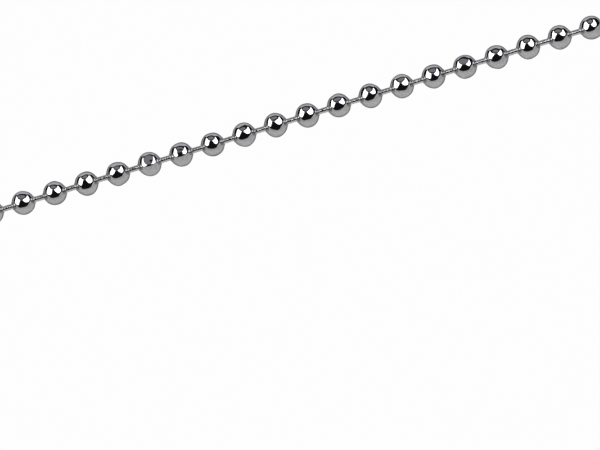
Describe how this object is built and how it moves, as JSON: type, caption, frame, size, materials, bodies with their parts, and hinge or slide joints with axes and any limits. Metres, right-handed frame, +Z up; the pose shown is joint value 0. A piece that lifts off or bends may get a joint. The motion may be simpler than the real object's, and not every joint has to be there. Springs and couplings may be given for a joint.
{
  "type": "roller blind ball chain",
  "caption": "Straight length of polished metal ball chain for working a roller blind: hollow balls held at an even pitch by headed pins that tilt in them.",
  "frame": {"origin": "on the surface that the chain lies on, under the middle of its length and width", "axes": "+X along the chain, +Y across it, +Z up from the surface that it lies on"},
  "size_m": [0.1182, 0.0044, 0.0044],
  "materials": {
    "ball_plating": "polished nickel plating",
    "pin_plating": "bright nickel plating over drawn wire"
  },
  "bodies": {
    "ball_01": {"ball_01": "ball_plating"},
    "ball_02": {"ball_02": "ball_plating"},
    "ball_03": {"ball_03": "ball_plating"},
    "ball_04": {"ball_04": "ball_plating"},
    "ball_05": {"ball_05": "ball_plating"},
    "ball_06": {"ball_06": "ball_plating"},
    "ball_07": {"ball_07": "ball_plating"},
    "ball_08": {"ball_08": "ball_plating"},
    "ball_09": {"ball_09": "ball_plating"},
    "ball_10": {"ball_10": "ball_plating"},
    "ball_11": {"ball_11": "ball_plating"},
    "ball_12": {"ball_12": "ball_plating"},
    "ball_13": {"ball_13": "ball_plating"},
    "ball_14": {"ball_14": "ball_plating"},
    "ball_15": {"ball_15": "ball_plating"},
    "ball_16": {"ball_16": "ball_plating"},
    "ball_17": {"ball_17": "ball_plating"},
    "ball_18": {"ball_18": "ball_plating"},
    "ball_19": {"ball_19": "ball_plating"},
    "ball_20": {"ball_20": "ball_plating"},
    "pin_01": {"pin_01": "pin_plating"},
    "pin_02": {"pin_02": "pin_plating"},
    "pin_03": {"pin_03": "pin_plating"},
    "pin_04": {"pin_04": "pin_plating"},
    "pin_05": {"pin_05": "pin_plating"},
    "pin_06": {"pin_06": "pin_plating"},
    "pin_07": {"pin_07": "pin_plating"},
    "pin_08": {"pin_08": "pin_plating"},
    "pin_09": {"pin_09": "pin_plating"},
    "pin_10": {"pin_10": "pin_plating"},
    "pin_11": {"pin_11": "pin_plating"},
    "pin_12": {"pin_12": "pin_plating"},
    "pin_13": {"pin_13": "pin_plating"},
    "pin_14": {"pin_14": "pin_plating"},
    "pin_15": {"pin_15": "pin_plating"},
    "pin_16": {"pin_16": "pin_plating"},
    "pin_17": {"pin_17": "pin_plating"},
    "pin_18": {"pin_18": "pin_plating"},
    "pin_19": {"pin_19": "pin_plating"}
  },
  "joints": [
    {"name": "pin_10_in_ball_10", "type": "hinge", "parent": "ball_10", "child": "pin_10", "pos_m": [-0.001, 0, 0.0022], "axis": [0, 0, 1], "range_deg": [-18, 18]},
    {"name": "pin_10_in_ball_11", "type": "hinge", "parent": "pin_10", "child": "ball_11", "pos_m": [0.001, 0, 0.0022], "axis": [0, 1, 0], "range_deg": [-18, 18]},
    {"name": "pin_11_in_ball_11", "type": "hinge", "parent": "ball_11", "child": "pin_11", "pos_m": [0.005, 0, 0.0022], "axis": [0, 0, 1], "range_deg": [-18, 18]},
    {"name": "pin_11_in_ball_12", "type": "hinge", "parent": "pin_11", "child": "ball_12", "pos_m": [0.007, 0, 0.0022], "axis": [0, 1, 0], "range_deg": [-18, 18]},
    {"name": "pin_12_in_ball_12", "type": "hinge", "parent": "ball_12", "child": "pin_12", "pos_m": [0.011, 0, 0.0022], "axis": [0, 0, 1], "range_deg": [-18, 18]},
    {"name": "pin_12_in_ball_13", "type": "hinge", "parent": "pin_12", "child": "ball_13", "pos_m": [0.013, 0, 0.0022], "axis": [0, 1, 0], "range_deg": [-18, 18]},
    {"name": "pin_13_in_ball_13", "type": "hinge", "parent": "ball_13", "child": "pin_13", "pos_m": [0.017, 0, 0.0022], "axis": [0, 0, 1], "range_deg": [-18, 18]},
    {"name": "pin_13_in_ball_14", "type": "hinge", "parent": "pin_13", "child": "ball_14", "pos_m": [0.019, 0, 0.0022], "axis": [0, 1, 0], "range_deg": [-18, 18]},
    {"name": "pin_14_in_ball_14", "type": "hinge", "parent": "ball_14", "child": "pin_14", "pos_m": [0.023, 0, 0.0022], "axis": [0, 0, 1], "range_deg": [-18, 18]},
    {"name": "pin_14_in_ball_15", "type": "hinge", "parent": "pin_14", "child": "ball_15", "pos_m": [0.025, 0, 0.0022], "axis": [0, 1, 0], "range_deg": [-18, 18]},
    {"name": "pin_15_in_ball_15", "type": "hinge", "parent": "ball_15", "child": "pin_15", "pos_m": [0.029, 0, 0.0022], "axis": [0, 0, 1], "range_deg": [-18, 18]},
    {"name": "pin_15_in_ball_16", "type": "hinge", "parent": "pin_15", "child": "ball_16", "pos_m": [0.031, 0, 0.0022], "axis": [0, 1, 0], "range_deg": [-18, 18]},
    {"name": "pin_16_in_ball_16", "type": "hinge", "parent": "ball_16", "child": "pin_16", "pos_m": [0.035, 0, 0.0022], "axis": [0, 0, 1], "range_deg": [-18, 18]},
    {"name": "pin_16_in_ball_17", "type": "hinge", "parent": "pin_16", "child": "ball_17", "pos_m": [0.037, 0, 0.0022], "axis": [0, 1, 0], "range_deg": [-18, 18]},
    {"name": "pin_17_in_ball_17", "type": "hinge", "parent": "ball_17", "child": "pin_17", "pos_m": [0.041, 0, 0.0022], "axis": [0, 0, 1], "range_deg": [-18, 18]},
    {"name": "pin_17_in_ball_18", "type": "hinge", "parent": "pin_17", "child": "ball_18", "pos_m": [0.043, 0, 0.0022], "axis": [0, 1, 0], "range_deg": [-18, 18]},
    {"name": "pin_18_in_ball_18", "type": "hinge", "parent": "ball_18", "child": "pin_18", "pos_m": [0.047, 0, 0.0022], "axis": [0, 0, 1], "range_deg": [-18, 18]},
    {"name": "pin_18_in_ball_19", "type": "hinge", "parent": "pin_18", "child": "ball_19", "pos_m": [0.049, 0, 0.0022], "axis": [0, 1, 0], "range_deg": [-18, 18]},
    {"name": "pin_19_in_ball_19", "type": "hinge", "parent": "ball_19", "child": "pin_19", "pos_m": [0.053, 0, 0.0022], "axis": [0, 0, 1], "range_deg": [-18, 18]},
    {"name": "pin_19_in_ball_20", "type": "hinge", "parent": "pin_19", "child": "ball_20", "pos_m": [0.055, 0, 0.0022], "axis": [0, 1, 0], "range_deg": [-18, 18]},
    {"name": "pin_09_in_ball_10", "type": "hinge", "parent": "ball_10", "child": "pin_09", "pos_m": [-0.005, 0, 0.0022], "axis": [0, 1, 0], "range_deg": [-18, 18]},
    {"name": "pin_09_in_ball_09", "type": "hinge", "parent": "pin_09", "child": "ball_09", "pos_m": [-0.007, 0, 0.0022], "axis": [0, 0, 1], "range_deg": [-18, 18]},
    {"name": "pin_08_in_ball_09", "type": "hinge", "parent": "ball_09", "child": "pin_08", "pos_m": [-0.011, 0, 0.0022], "axis": [0, 1, 0], "range_deg": [-18, 18]},
    {"name": "pin_08_in_ball_08", "type": "hinge", "parent": "pin_08", "child": "ball_08", "pos_m": [-0.013, 0, 0.0022], "axis": [0, 0, 1], "range_deg": [-18, 18]},
    {"name": "pin_07_in_ball_08", "type": "hinge", "parent": "ball_08", "child": "pin_07", "pos_m": [-0.017, 0, 0.0022], "axis": [0, 1, 0], "range_deg": [-18, 18]},
    {"name": "pin_07_in_ball_07", "type": "hinge", "parent": "pin_07", "child": "ball_07", "pos_m": [-0.019, 0, 0.0022], "axis": [0, 0, 1], "range_deg": [-18, 18]},
    {"name": "pin_06_in_ball_07", "type": "hinge", "parent": "ball_07", "child": "pin_06", "pos_m": [-0.023, 0, 0.0022], "axis": [0, 1, 0], "range_deg": [-18, 18]},
    {"name": "pin_06_in_ball_06", "type": "hinge", "parent": "pin_06", "child": "ball_06", "pos_m": [-0.025, 0, 0.0022], "axis": [0, 0, 1], "range_deg": [-18, 18]},
    {"name": "pin_05_in_ball_06", "type": "hinge", "parent": "ball_06", "child": "pin_05", "pos_m": [-0.029, 0, 0.0022], "axis": [0, 1, 0], "range_deg": [-18, 18]},
    {"name": "pin_05_in_ball_05", "type": "hinge", "parent": "pin_05", "child": "ball_05", "pos_m": [-0.031, 0, 0.0022], "axis": [0, 0, 1], "range_deg": [-18, 18]},
    {"name": "pin_04_in_ball_05", "type": "hinge", "parent": "ball_05", "child": "pin_04", "pos_m": [-0.035, 0, 0.0022], "axis": [0, 1, 0], "range_deg": [-18, 18]},
    {"name": "pin_04_in_ball_04", "type": "hinge", "parent": "pin_04", "child": "ball_04", "pos_m": [-0.037, 0, 0.0022], "axis": [0, 0, 1], "range_deg": [-18, 18]},
    {"name": "pin_03_in_ball_04", "type": "hinge", "parent": "ball_04", "child": "pin_03", "pos_m": [-0.041, 0, 0.0022], "axis": [0, 1, 0], "range_deg": [-18, 18]},
    {"name": "pin_03_in_ball_03", "type": "hinge", "parent": "pin_03", "child": "ball_03", "pos_m": [-0.043, 0, 0.0022], "axis": [0, 0, 1], "range_deg": [-18, 18]},
    {"name": "pin_02_in_ball_03", "type": "hinge", "parent": "ball_03", "child": "pin_02", "pos_m": [-0.047, 0, 0.0022], "axis": [0, 1, 0], "range_deg": [-18, 18]},
    {"name": "pin_02_in_ball_02", "type": "hinge", "parent": "pin_02", "child": "ball_02", "pos_m": [-0.049, 0, 0.0022], "axis": [0, 0, 1], "range_deg": [-18, 18]},
    {"name": "pin_01_in_ball_02", "type": "hinge", "parent": "ball_02", "child": "pin_01", "pos_m": [-0.053, 0, 0.0022], "axis": [0, 1, 0], "range_deg": [-18, 18]},
    {"name": "pin_01_in_ball_01", "type": "hinge", "parent": "pin_01", "child": "ball_01", "pos_m": [-0.055, 0, 0.0022], "axis": [0, 0, 1], "range_deg": [-18, 18]}
  ]
}
